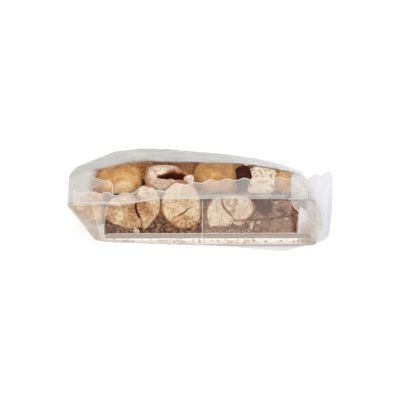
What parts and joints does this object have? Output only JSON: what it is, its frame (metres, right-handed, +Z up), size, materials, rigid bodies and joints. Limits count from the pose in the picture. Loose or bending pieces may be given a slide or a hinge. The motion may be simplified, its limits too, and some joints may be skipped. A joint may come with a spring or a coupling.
{
  "type": "nut brittle in a clear film bag",
  "caption": "Bar of nut brittle sealed in a clear film bag with crimped, wavy-cut end seals; the seal in front is folded up.",
  "frame": {"origin": "middle of the bag's base on the surface it lies on", "axes": "+Z up; +X along the end seals, to the right of a viewer who faces the front seal; +Y from the front seal to the back seal"},
  "size_m": [0.0914, 0.066, 0.0234],
  "materials": {
    "clear_film": "clear, slightly hazy glossy film",
    "caramel": "dark hard caramel, broken faces sugary and glittering",
    "roasted_nut": "skinned roasted nut under a thin caramel coat",
    "cut_nut": "cream cut nut, matt"
  },
  "bodies": {
    "root": {"film_bag": "clear_film"}
  },
  "joints": []
}
